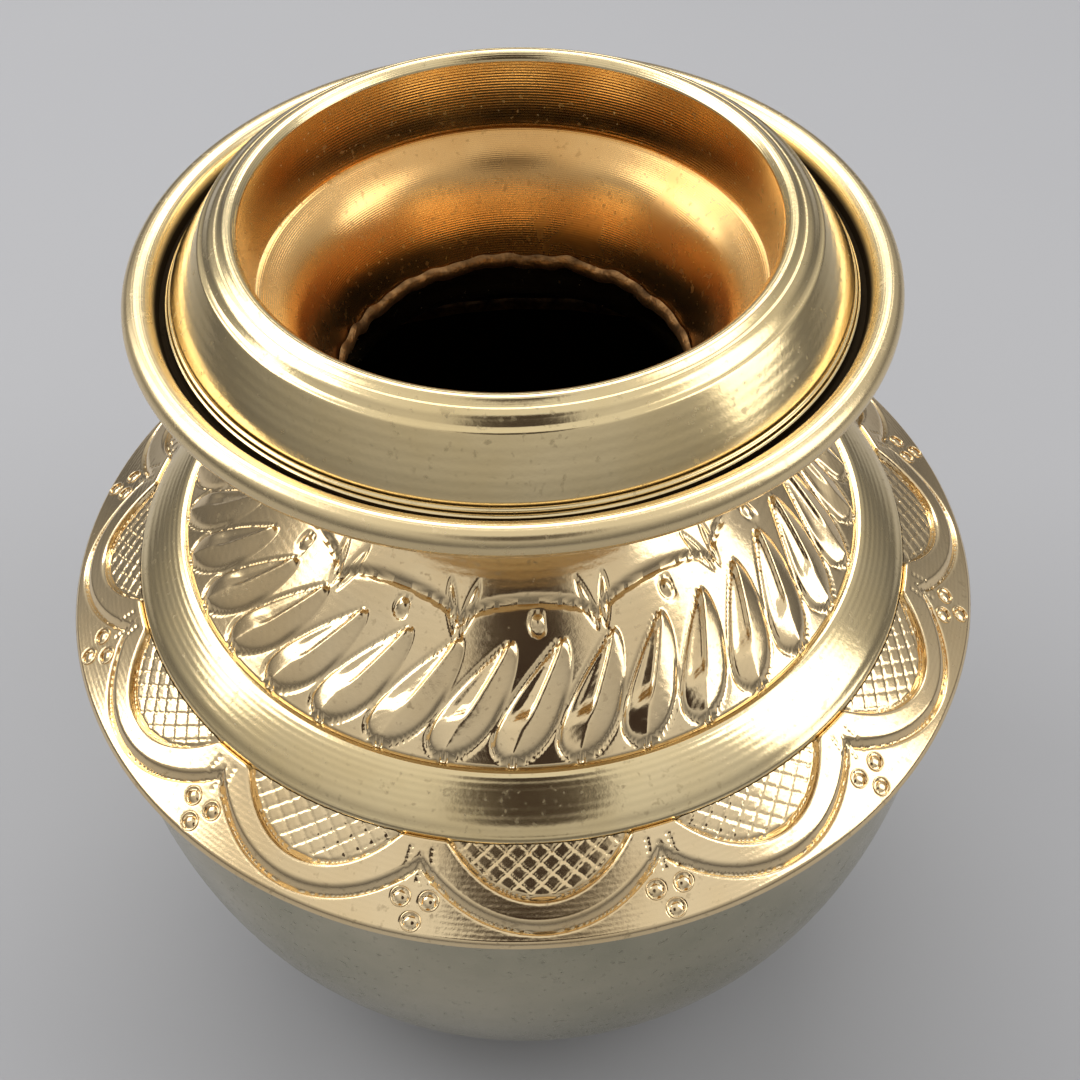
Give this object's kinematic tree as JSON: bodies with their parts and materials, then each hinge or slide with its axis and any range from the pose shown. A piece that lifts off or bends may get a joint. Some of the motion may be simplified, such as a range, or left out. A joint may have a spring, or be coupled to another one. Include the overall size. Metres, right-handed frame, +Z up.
{
  "type": "kalash",
  "caption": "Round brass ritual water pot with an embossed shoulder, a flared neck with a rolled saucer edge and a turned mouth collar.",
  "frame": {"origin": "centre of the resting face, on the pot's axis", "axes": "+Z up along the pot's axis; -Y is the side that the picture shows"},
  "size_m": [0.144, 0.144, 0.1505],
  "materials": {
    "brass": "polished",
    "inside_brass": "polished",
    "braze": "rough"
  },
  "bodies": {
    "root": {"bowl": "brass", "shoulder": "brass", "neck_flange": "inside_brass", "mouth_collar": "brass", "edge_braze": "braze", "neck_braze": "braze", "collar_braze": "braze"}
  },
  "joints": []
}
